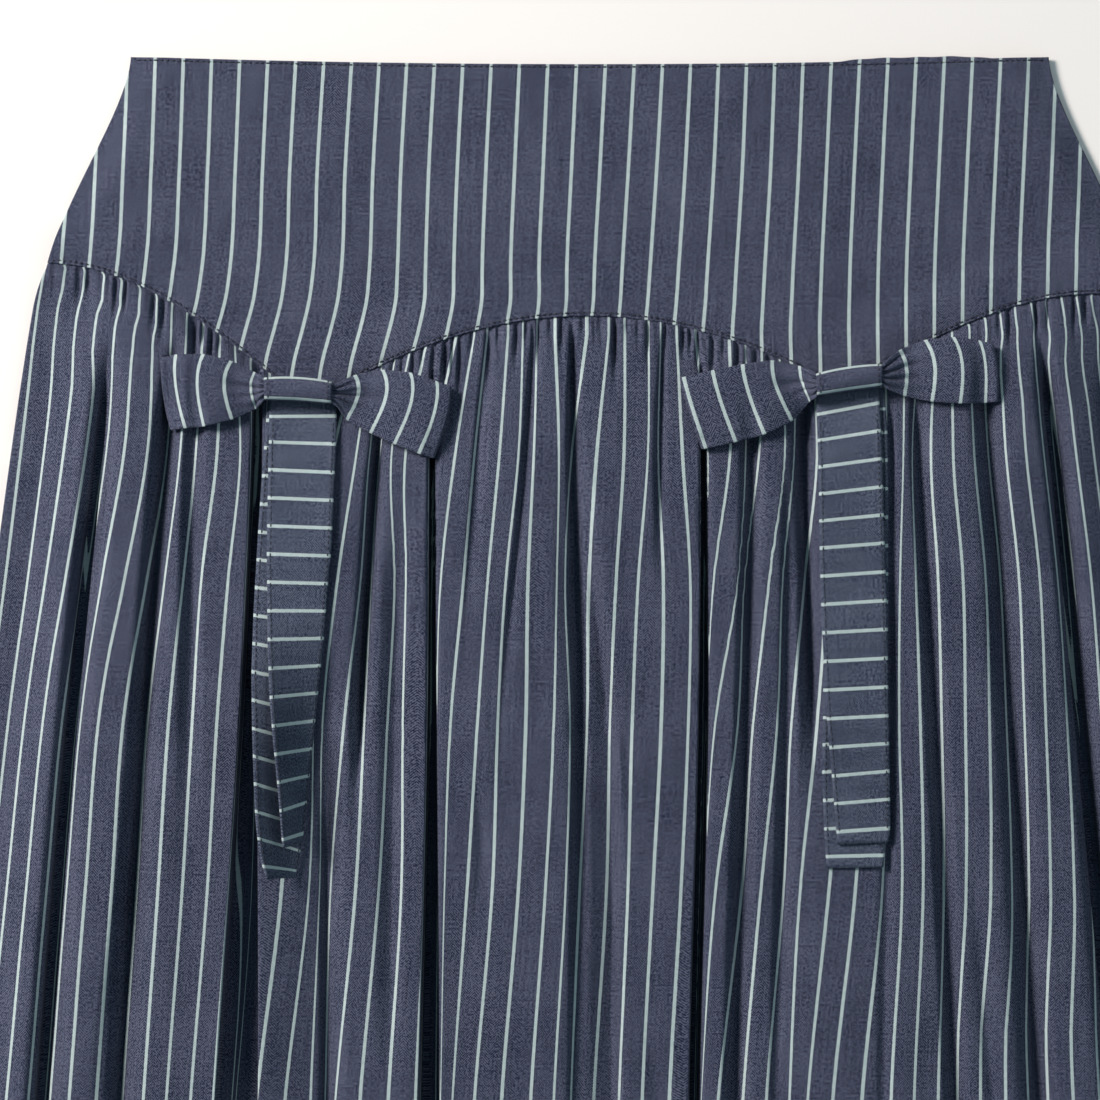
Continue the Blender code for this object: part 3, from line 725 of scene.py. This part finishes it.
def edge_stitches(label, points, inset, rows=None):
    """Two lines of stitches along a strap's long edges, inset in columns' share."""
    cols = points.shape[1]
    for share in (inset, 1 - inset):
        c = share * (cols - 1)
        i = int(c)
        f = c - i
        line = points[:, i] * (1 - f) + points[:, min(i + 1, cols - 1)] * f
        if rows is not None:
            line = line[rows]
        across = points[:, -1] - points[:, 0]
        if rows is not None:
            across = across[rows]
        along = np.gradient(line, axis=0)
        normal = np.cross(across, along)
        normal = normal / np.maximum(np.linalg.norm(normal, axis=1, keepdims=True), 1e-9)
        normal = np.where(normal[:, 2:] < 0, -normal, normal)
        STITCHES.append((label, line + normal * 0.42, normal))


# the right of the front left tail turns down into the valley; its end curls
def left_front_curl(key, v):
    return 7.2 * soft((key - 3.5) / 8) * (1 - v) ** 1.1 + 0.35 * wobble(key * 0.9, v * 3, 2)


def left_back_curl(key, v):
    return 0.35 * wobble(key * 0.8, v * 2, 6) + 9.5 * soft((key - 4) / 7) * (1 - v) ** 1.25


def right_front_curl(key, v):
    return 0.35 * wobble(key * 0.7, v * 3, 3) + 0.5 * soft((key - 11) / 5) * (0.5 - v)


def right_back_curl(key, v):
    return 0.3 * wobble(key * 0.7, v * 2, 8)


STRAP = 0.9
pieces = {}
for side, back_table, front_table, back_curl, front_curl in (
    ("left", LEFT_TAIL_BACK, LEFT_TAIL_FRONT, left_back_curl, left_front_curl),
    ("right", RIGHT_TAIL_BACK, RIGHT_TAIL_FRONT, right_back_curl, right_front_curl),
):
    for which, table, curl in (("back", back_table, back_curl), ("front", front_table, front_curl)):
        points, uv, key = tail(f"bow_{side}_tail_{which}", table, 130, 22, 0.9, 60, curl)
        pieces[f"bow_{side}_tail_{which}"] = (finish_strap(f"bow_{side}_tail_{which}_cloth", points, uv, STRAP), points)
        edge_stitches(f"bow_{side}_tail_{which}", points, 0.055, slice(8, -3))

# ---------------------------------------------------------------- knots and wings
KNOT_TALL, KNOT_DEEP = 9.4, 7.6
KNOTS = {
    # left axis end, right axis end in picture points, arch of the axis
    "left": ((265.5, 389.5), (332.5, 393.5), -1.6),
    "right": ((815.5, 385.5), (880.5, 376.0), -1.2),
}


def knot(side):
    (x0, y0), (x1, y1), arch = KNOTS[side]
    ax, ad = px(x0, y0)
    bx, bd = px(x1, y1)
    cols, around = 26, 48
    v = np.linspace(0, 1, cols)
    cx = ax + (bx - ax) * v
    cd = ad + (bd - ad) * v + arch * K * np.sin(math.pi * v)
    under = ground_at(np.repeat(cx[:, None], 9, 1), cd[:, None] + np.linspace(-3, 4, 9)[None, :]).max()
    z_mid = under + 0.5 + KNOT_DEEP / 2
    a = np.linspace(-0.5 * math.pi, 1.5 * math.pi, around)
    c, s = np.cos(a), np.sin(a)
    points = np.zeros((around, cols, 3))
    pinch = 1 - 0.07 * np.abs(2 * v - 1) ** 4 + 0.03 * np.sin(math.pi * v)
    for k in range(around):
        dd = -(abs(c[k]) ** 0.8) * math.copysign(1, c[k]) * (KNOT_TALL - STRAP) / 2
        zz = (abs(s[k]) ** 0.8) * math.copysign(1, s[k]) * (KNOT_DEEP - STRAP) / 2
        points[k, :, 0] = cx + 0.25 * math.sin(a[k] * 2) * (v - 0.5)
        points[k, :, 1] = cd + dd * pinch
        points[k, :, 2] = z_mid + zz * pinch + 0.16 * np.sin(a[k] * 3 + 5 * v) * (zz > 0)
    # a pale stripe by the top edge and one by the bottom edge
    place = np.array([-(abs(math.cos(q)) ** 0.8) * math.copysign(1, math.cos(q)) for q in a])
    u = np.where((a >= 0) & (a <= math.pi), (place + 0.93) / 1.72, np.where(a < 0, (-1.07 - place) / 1.72, (1 - place) / 1.72 + 1.122)) * PITCH
    uv = np.stack([np.broadcast_to(u[:, None], (around, cols)), np.broadcast_to(v[None, :] * 26.5, (around, cols))], axis=-1)
    return points, uv, z_mid


LEFT_INNER = [
    # stripe, top x y, bottom x y, bow of the stripe, height of the loop
    (-1.1, 306, 387, 306, 396, 0, 1.6),
    (-0.1, 331, 387.5, 331, 402, 1, 1.8),
    (0.4, 337.5, 384.5, 337, 406, 2.5, 2.4),
    (1.0, 355, 375.5, 347, 420.5, 7.5, 3.8),
    (2.0, 383, 370, 371, 433.5, 9.5, 5.0),
    (3.0, 411, 373, 395, 444.5, 8, 5.2),
    (4.0, 437, 382, 419, 454, 6, 4.4),
    (4.45, 449, 386, 432, 458, 4, 3.4),
]
LEFT_OUTER = [
    (-1.0, 293, 386, 293, 396, 0, 1.6),
    (-0.1, 267.5, 383, 267.5, 397, 1, 1.8),
    (0.4, 263, 376, 261, 405, 2, 2.4),
    (1.0, 256, 373, 257, 409, 4.5, 3.4),
    (2.0, 232, 361.5, 233, 420, 8, 5.0),
    (3.0, 204, 354.5, 205, 427, 6.5, 5.4),
    (4.0, 177, 355, 187, 428.5, 4, 4.4),
    (4.5, 163, 358, 173, 430, 2, 3.4),
]
RIGHT_INNER = [
    (-1.0, 842, 377, 842, 387, 0, 1.6),
    (-0.1, 817, 378, 817, 393, 1, 1.8),
    (0.4, 812.5, 372, 814.5, 399, 2, 2.4),
    (1.0, 800, 366.5, 810.5, 400.5, 2.2, 3.4),
    (2.0, 772, 360.5, 791.5, 421.5, 5.5, 4.8),
    (3.0, 742, 365, 764, 435, 3.2, 5.2),
    (4.0, 712, 371, 735, 442.5, 2.2, 4.6),
    (5.0, 683.5, 377.5, 705.5, 449, 1.2, 3.6),
    (5.05, 682, 378, 704, 449.3, 1.2, 3.6),
]
RIGHT_OUTER = [
    (-1.0, 854, 375, 854, 384, 0, 1.6),
    (-0.1, 879, 369, 879, 383, 1, 1.8),
    (0.4, 884, 362, 887, 390, 2, 2.6),
    (1.0, 899, 350, 903.5, 396.5, 5, 3.8),
    (2.0, 925, 340, 931, 402, 7, 5.2),
    (3.0, 953, 337.5, 959, 404, 6, 5.4),
    (4.0, 979, 341, 985, 403, 3.5, 4.4),
    (4.4, 990, 344, 995, 402, 2, 3.4),
]
CREASES = {
    # share across at the knot, share across where it ends, how many stripes far, depth, width
    "left_inner": [(0.24, 0.12, 1.3, 2.6, 0.055), (0.47, 0.46, 2.6, 3.4, 0.075), (0.66, 0.74, 2.2, 2.2, 0.06), (0.84, 0.93, 1.3, 2.6, 0.06), (0.36, 0.3, 1.8, 1.8, 0.05)],
    "left_outer": [(0.2, 0.08, 1.5, 2.4, 0.06), (0.42, 0.38, 2.9, 3.2, 0.075), (0.62, 0.64, 2.2, 2.4, 0.06), (0.82, 0.92, 1.6, 2.4, 0.06)],
    "right_inner": [(0.2, 0.1, 1.4, 2.4, 0.055), (0.45, 0.42, 2.8, 3.0, 0.075), (0.64, 0.7, 2.0, 2.2, 0.06), (0.84, 0.9, 1.2, 2.4, 0.06), (0.32, 0.26, 1.8, 1.4, 0.05)],
    "right_outer": [(0.2, 0.08, 1.6, 3.0, 0.06), (0.4, 0.32, 2.6, 2.6, 0.07), (0.62, 0.62, 2.2, 2.4, 0.065), (0.84, 0.92, 1.4, 2.2, 0.06)],
}


def wing(side, which, table, z_mouth):
    """A loop of strap: out of the knot underneath, round the end and back on top."""
    key, (xu, du, xl, dl, bow, rise) = smooth_rows(px_table(table), 90)
    cols = 52
    v = np.linspace(0, 1, cols)[None, :]
    out_sign = math.copysign(1, xu[-1] - xu[0])
    bulge = 4.0 * v * (1 - v) * (1.25 - 0.7 * v)
    x = xu[:, None] + (xl - xu)[:, None] * v + out_sign * bow[:, None] * K * bulge
    d = du[:, None] + (dl - du)[:, None] * v
    hidden = soft((key + 0.15) / 0.75)[:, None]
    inset = 0.035 * hidden
    v_in = inset + (1 - 2 * inset) * v
    x_under = xu[:, None] + (xl - xu)[:, None] * v_in + out_sign * bow[:, None] * K * 4 * v_in * (1 - v_in)
    d_under = du[:, None] + (dl - du)[:, None] * v_in
    under = drape(x_under, d_under, 0.9, 50)
    start = np.full_like(under, z_mouth - 0.9)
    under = np.where(key[:, None] < -0.1, start, start + (np.maximum(under, 0) - start) * hidden)
    under = np.maximum(under, np.where(key[:, None] > 0.3, ground_at(x_under, d_under) + 0.6, under))
    crown = 1 - 0.28 * np.abs(2 * v - 1) ** 3
    over = under.mean(axis=1, keepdims=True) * 0.45 + under * 0.55 + rise[:, None] * crown
    pinched = z_mouth + 2.5 * (1 - 0.75 * np.abs(2 * v - 1) ** 2.5) + 0 * over
    leave = soft((key[:, None] - 0.1) / 1.7)
    over = pinched * (1 - leave) + over * leave
    over = over + 0.3 * wobble(key[:, None] * 1.4, v * 4, 3 if which == "inner" else 7) * hidden
    for v0, v1, far, depth, width in CREASES[f"{side}_{which}"]:
        k = np.clip(key / far, 0, 1)[:, None]
        centre = v0 + (v1 - v0) * k
        fade = soft((key + 0.3) / 0.4)[:, None] * (1 - k) ** 1.1
        over = over - depth * fade * np.exp(-(((v - centre) / (width * (1 + 0.5 * k))) ** 2))
    over = under + 1.15 + 0.4 * np.log1p(np.exp((over - under - 1.15) / 0.4))
    # the end: half a turn from the under layer up to the over layer
    turn, turn_uv = [], []
    push_x = x[-1] - x[-2]
    push_d = d[-1] - d[-2]
    n = np.hypot(push_x, push_d)
    r = (over[-1] - under[-1]) / 2
    for angle in np.linspace(0, math.pi, 13)[1:-1]:
        mix = (1 - math.cos(angle)) / 2
        px_x = x_under[-1] * (1 - mix) + x[-1] * mix
        px_d = d_under[-1] * (1 - mix) + d[-1] * mix
        flat = 0.42  # the fold is pressed: it reaches less far than a half circle
        turn.append(np.stack([px_x + push_x / n * r * flat * math.sin(angle), px_d + push_d / n * r * flat * math.sin(angle), under[-1] + r * (1 - math.cos(angle))], axis=1))
        turn_uv.append(angle)
    under_points = np.stack([x_under, d_under, under], axis=-1)
    over_points = np.stack([x, d, over], axis=-1)
    points = np.concatenate([under_points, np.array(turn), over_points[::-1]])
    # stripe coordinate: measured on the over layer; the under layer carries on past the fold
    end = key[-1]
    key = np.maximum(key, 0.3)
    u_over = key[::-1, None] * PITCH + 0 * v
    u_turn = (end * PITCH + (math.pi - np.array(turn_uv)) * 1.6)[:, None] + 0 * v
    u_under = (2 * end * PITCH + math.pi * 1.6 - key * PITCH)[:, None] + 0 * v
    u = np.concatenate([u_under, u_turn, u_over])
    uv = np.stack([u, np.broadcast_to(v * 26.5, u.shape)], axis=-1)
    return points, uv


for side, inner, outer in (("left", LEFT_INNER, LEFT_OUTER), ("right", RIGHT_INNER, RIGHT_OUTER)):
    points, uv, z_mid = knot(side)
    ring = cloth_sheet(f"bow_{side}_knot_cloth", points, uv, STRAP, 0)
    pieces[f"bow_{side}_knot"] = (ring, points)
    edge_stitches(f"bow_{side}_knot", points[13:36], 0.055)
    for which, table in (("inner", inner), ("outer", outer)):
        wing_points, wing_uv = wing(side, which, table, z_mid)
        pieces[f"bow_{side}_wing_{which}"] = (cloth_sheet(f"bow_{side}_wing_{which}_cloth", wing_points, wing_uv, STRAP, 0), wing_points)


# ---------------------------------------------------------------- stitches
def line_of_stitches(name, sets, pitch=2.3, length=1.6, radius=0.3, sides=6):
    """Short thread stitches along the lines, each a small rounded rod that sinks in at its ends."""
    verts, faces = [], []
    for line, normal in sets:
        step = np.linalg.norm(np.diff(line, axis=0), axis=1)
        run = np.concatenate([[0], np.cumsum(step)])
        count = int(run[-1] / pitch)
        for k in range(count):
            mid = (k + 0.5) * run[-1] / count
            centre = np.array([np.interp(mid, run, line[:, c]) for c in range(3)])
            ahead = np.array([np.interp(mid + 0.4, run, line[:, c]) for c in range(3)])
            behind = np.array([np.interp(mid - 0.4, run, line[:, c]) for c in range(3)])
            up = np.array([np.interp(mid, run, normal[:, c]) for c in range(3)])
            along = ahead - behind
            along = along / max(np.linalg.norm(along), 1e-9)
            up = up - along * float(up @ along)
            up = up / max(np.linalg.norm(up), 1e-9)
            side = np.cross(along, up)
            base = len(verts)
            stations = ((-0.5, 0.35, -0.22), (-0.34, 0.9, -0.03), (0.0, 1.0, 0.05), (0.34, 0.9, -0.03), (0.5, 0.35, -0.22))
            for at, fat, sink in stations:
                for q in range(sides):
                    a = 2 * math.pi * q / sides
                    verts.append(centre + along * at * length + up * (sink + radius * fat * math.sin(a)) + side * radius * fat * math.cos(a))
            rings = len(stations)
            for j in range(rings - 1):
                for q in range(sides):
                    a0, a1 = base + j * sides + q, base + j * sides + (q + 1) % sides
                    faces.append([a0, a1, a1 + sides, a0 + sides])
            faces.append([base + q for q in range(sides)][::-1])
            faces.append([base + (rings - 1) * sides + q for q in range(sides)])
    return mesh_object(name, np.array(verts), faces)


def surface_line(height, xs, ds, lift=0.1):
    z = height(xs, ds)
    line = np.stack([xs, ds, z + lift], axis=1)
    return line, np.tile(np.array([0.0, 0.0, 1.0]), (len(xs), 1))


xs = np.linspace(-211, 211, 900)
seam_line = surface_line(yoke_top, xs, seam(xs) - 1.25, 0.2)
xs = np.linspace(-178, 178, 600)
waist_line = surface_line(yoke_top, xs, waist(xs) + 1.1, 0.18)
xs = np.linspace(-291, 291, 900)
hem_d = LENGTH - 14 - HEM_RISE * (xs / 290) ** 2
hem_line = surface_line(front_top, xs, hem_d, 0.08)
stitch_objects = {
    "yoke_front": [line_of_stitches("yoke_edge_stitches", [seam_line]), line_of_stitches("waist_edge_stitches", [waist_line])],
    "skirt_front": [line_of_stitches("hem_stitches_front", [hem_line], pitch=2.8)],
}
for label in sorted({s[0] for s in STITCHES}):
    sets = [(line, normal) for name, line, normal in STITCHES if name == label]
    stitch_objects[label] = [line_of_stitches(f"{label}_stitches", sets)]


# ---------------------------------------------------------------- materials
def new_material(name):
    mat = bpy.data.materials.new(name)
    mat.use_nodes = True
    nodes, links = mat.node_tree.nodes, mat.node_tree.links
    return mat, nodes, links, nodes["Principled BSDF"]


def cloth_material(name, shade=(1.0, 1.0, 1.0)):
    """Yarn-dyed chambray: dark warp and greyer weft in a fine broken twill, with pale raised stripes."""
    mat, nodes, links, bsdf = new_material(name)

    def node(kind, **settings):
        n = nodes.new(kind)
        for k, val in settings.items():
            setattr(n, k, val)
        return n

    def math_node(op, a, b=None, c=None, clamp=False):
        n = node("ShaderNodeMath", operation=op, use_clamp=clamp)
        for i, val in enumerate((a, b, c)):
            if val is None:
                continue
            if isinstance(val, (int, float)):
                n.inputs[i].default_value = val
            else:
                links.new(val, n.inputs[i])
        return n.outputs[0]

    uv = node("ShaderNodeUVMap", uv_map="cloth")
    parts = node("ShaderNodeSeparateXYZ")
    links.new(uv.outputs[0], parts.inputs[0])
    u, v = parts.outputs[0], parts.outputs[1]

    def noise(scale_u, scale_v, detail=2.0, rough=0.5, offset=0.0):
        join = node("ShaderNodeCombineXYZ")
        links.new(math_node("MULTIPLY_ADD", u, scale_u, offset), join.inputs[0])
        links.new(math_node("MULTIPLY", v, scale_v), join.inputs[1])
        tex = node("ShaderNodeTexNoise")
        tex.inputs["Scale"].default_value = 1.0
        tex.inputs["Detail"].default_value = detail
        tex.inputs["Roughness"].default_value = rough
        links.new(join.outputs[0], tex.inputs["Vector"])
        return tex.outputs["Fac"]

    # the twill's fine diagonals turn back and forth in narrow bands
    band = math_node("PINGPONG", u, 0.0029)
    slant = math_node("ADD", math_node("MULTIPLY", band, 1.0), v)
    twill = math_node("SINE", math_node("MULTIPLY", slant, 2 * math.pi / 0.00105))
    warp = math_node("SINE", math_node("MULTIPLY", u, 2 * math.pi / 0.00062))
    specks = noise(1250, 1050, 2.0, 0.6)
    streak_warp = noise(900, 38, 2.0, 0.55, 3.0)
    streak_weft = noise(34, 1000, 2.0, 0.55, 11.0)
    cloudy = noise(42, 30, 3.0, 0.55, 5.0)

    clear = math_node("MULTIPLY_ADD", noise(150, 120, 2.0, 0.5, 21.0), 1.0, 0.02)
    tone = math_node("MULTIPLY_ADD", math_node("MULTIPLY", twill, clear), 0.8, 0.5)
    tone = math_node("MULTIPLY_ADD", warp, 0.05, tone)
    tone = math_node("ADD", tone, math_node("MULTIPLY_ADD", specks, 3.4, -1.7))
    tone = math_node("ADD", tone, math_node("MULTIPLY_ADD", streak_warp, 0.8, -0.4))
    tone = math_node("ADD", tone, math_node("MULTIPLY_ADD", streak_weft, 0.5, -0.25))
    tone = math_node("ADD", tone, math_node("MULTIPLY_ADD", cloudy, 0.7, -0.35), clamp=True)
    ground = node("ShaderNodeMix", data_type="RGBA")
    links.new(tone, ground.inputs["Factor"])
    ground.inputs["A"].default_value = (0.0066 * shade[0], 0.0118 * shade[1], 0.0325 * shade[2], 1)
    ground.inputs["B"].default_value = (0.1045 * shade[0], 0.1125 * shade[1], 0.1685 * shade[2], 1)

    # the stripe: three pale yarns side by side, so its edges are a little uneven
    wave = math_node("PINGPONG", u, PITCH / 2000)
    ragged = math_node("MULTIPLY_ADD", noise(260, 1400, 1.0, 0.5, 7.0), 0.00042, -0.00021)
    away = math_node("ADD", wave, ragged)
    stripe = node("ShaderNodeMapRange", interpolation_type="SMOOTHSTEP")
    links.new(away, stripe.inputs["Value"])
    stripe.inputs["From Min"].default_value = 0.00054
    stripe.inputs["From Max"].default_value = 0.00079
    stripe.inputs["To Min"].default_value = 1.0
    stripe.inputs["To Max"].default_value = 0.0
    pale = node("ShaderNodeMix", data_type="RGBA")
    yarn = math_node("SINE", math_node("MULTIPLY", math_node("ADD", v, math_node("MULTIPLY", u, 0.8)), 2 * math.pi / 0.00095))
    pale_tone = math_node("ADD", math_node("MULTIPLY_ADD", yarn, 0.16, 0.5), math_node("MULTIPLY_ADD", noise(500, 420, 2.0, 0.5, 2.0), 0.9, -0.45), clamp=True)
    links.new(pale_tone, pale.inputs["Factor"])
    pale.inputs["A"].default_value = (0.32, 0.41, 0.415, 1)
    pale.inputs["B"].default_value = (0.545, 0.62, 0.61, 1)
    colour = node("ShaderNodeMix", data_type="RGBA")
    links.new(stripe.outputs[0], colour.inputs["Factor"])
    links.new(ground.outputs["Result"], colour.inputs["A"])
    links.new(pale.outputs["Result"], colour.inputs["B"])
    links.new(colour.outputs["Result"], bsdf.inputs["Base Color"])

    height = math_node("ADD", math_node("MULTIPLY", tone, 0.6), math_node("MULTIPLY", stripe.outputs[0], 0.7))
    bump = node("ShaderNodeBump")
    bump.inputs["Strength"].default_value = 0.35
    bump.inputs["Distance"].default_value = 0.00025
    links.new(height, bump.inputs["Height"])
    links.new(bump.outputs["Normal"], bsdf.inputs["Normal"])
    rough = node("ShaderNodeMapRange")
    links.new(tone, rough.inputs["Value"])
    rough.inputs["To Min"].default_value = 0.93
    rough.inputs["To Max"].default_value = 0.8
    links.new(rough.outputs[0], bsdf.inputs["Roughness"])
    bsdf.inputs["Specular IOR Level"].default_value = 0.18
    bsdf.inputs["Sheen Weight"].default_value = 0.05
    bsdf.inputs["Sheen Roughness"].default_value = 0.5
    return mat


def thread_material():
    mat, nodes, links, bsdf = new_material("navy_thread")
    coord = nodes.new("ShaderNodeTexCoord")
    wave = nodes.new("ShaderNodeTexWave")
    wave.bands_direction = "DIAGONAL"
    wave.inputs["Scale"].default_value = 900.0
    wave.inputs["Distortion"].default_value = 1.0
    links.new(coord.outputs["Object"], wave.inputs["Vector"])
    mix = nodes.new("ShaderNodeMix")
    mix.data_type = "RGBA"
    links.new(wave.outputs["Fac"], mix.inputs["Factor"])
    mix.inputs["A"].default_value = (0.006, 0.008, 0.018, 1)
    mix.inputs["B"].default_value = (0.020, 0.023, 0.042, 1)
    links.new(mix.outputs["Result"], bsdf.inputs["Base Color"])
    bsdf.inputs["Roughness"].default_value = 0.62
    return mat


cloth = cloth_material("navy_chambray")
# the tails get a lighter, greener copy of the cloth: painted light that lifts the shade on the hanging tails; the wings
# keep the plain cloth
tail_cloth_painted_lighter = cloth_material("navy_chambray_crosswise", (1.13, 1.22, 1.14))
thread = thread_material()

shown = {
    "skirt_front": skirt_front,
    "skirt_back": skirt_back,
    "yoke_front": yoke_front,
    "yoke_back": yoke_back,
    "waist_facing": waist_facing,
    **{name: piece[0] for name, piece in pieces.items()},
}
for node_name, obj in shown.items():
    # the tails take the cloth copy with painted light in it
    obj.data.materials.append(tail_cloth_painted_lighter if "_tail_" in node_name else cloth)
    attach(obj, "root")
    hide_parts(node_name)
for node_name, group in stitch_objects.items():
    for obj in group:
        obj.data.materials.append(thread)
        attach(obj, "root")

# ---------------------------------------------------------------- floor, light and camera
bpy.ops.mesh.primitive_plane_add(size=6.0, location=(0, 0, -0.0006))
floor = bpy.context.object
floor.name = "floor"
mat, nodes, links, bsdf = new_material("pale_floor")
speck = nodes.new("ShaderNodeTexNoise")
speck.inputs["Scale"].default_value = 14.0
ramp = nodes.new("ShaderNodeMapRange")
links.new(speck.outputs["Fac"], ramp.inputs["Value"])
tint = nodes.new("ShaderNodeMix")
tint.data_type = "RGBA"
links.new(ramp.outputs[0], tint.inputs["Factor"])
tint.inputs["A"].default_value = (0.93, 0.885, 0.85, 1)
tint.inputs["B"].default_value = (0.94, 0.895, 0.86, 1)
links.new(tint.outputs["Result"], bsdf.inputs["Base Color"])
bsdf.inputs["Roughness"].default_value = 0.9
floor.data.materials.append(mat)

world = bpy.data.worlds.new("soft_room")
world.use_nodes = True
world.node_tree.nodes["Background"].inputs["Color"].default_value = (0.66, 1.0, 1.14, 1)
world.node_tree.nodes["Background"].inputs["Strength"].default_value = 0.22
bpy.context.scene.world = world


def area_light(name, place, aim, size, power, colour=(1, 1, 1)):
    data = bpy.data.lights.new(name, "AREA")
    data.shape = "DISK"
    data.size = size
    data.energy = power
    data.color = colour
    obj = bpy.data.objects.new(name, data)
    bpy.context.scene.collection.objects.link(obj)
    obj.location = place
    import mathutils

    direction = mathutils.Vector(aim) - mathutils.Vector(place)
    obj.rotation_euler = direction.to_track_quat("-Z", "Y").to_euler()
    return obj


area_light("key_light", (-1.7, 1.15, 1.35), (0, 0.1, 0), 0.9, 73.0, (1.06, 0.985, 0.945))
area_light("fill_light", (1.4, 0.2, 1.8), (0, 0.1, 0), 1.6, 5.2, (0.97, 0.98, 1.0))

scene = bpy.context.scene
scene.view_settings.view_transform = "Standard"
scene.view_settings.look = "None"
scene.view_settings.exposure = 0.0
scene.view_settings.gamma = 1.0

LENS, SENSOR = 150.0, 36.0
wide = 1100 * K / 1000
distance = wide * LENS / SENSOR
camera_data = bpy.data.cameras.new("camera")
camera_data.lens = LENS
camera_data.sensor_width = SENSOR
camera_data.sensor_fit = "HORIZONTAL"
camera_data.clip_start = 0.05
camera_data.clip_end = 20
camera = bpy.data.objects.new("camera", camera_data)
scene.collection.objects.link(camera)
cx, cd = px(550, 550)
camera.location = (cx / 1000, (MID - cd) / 1000, 0.012 + distance)
camera.rotation_euler = (0, 0, 0)
scene.camera = camera
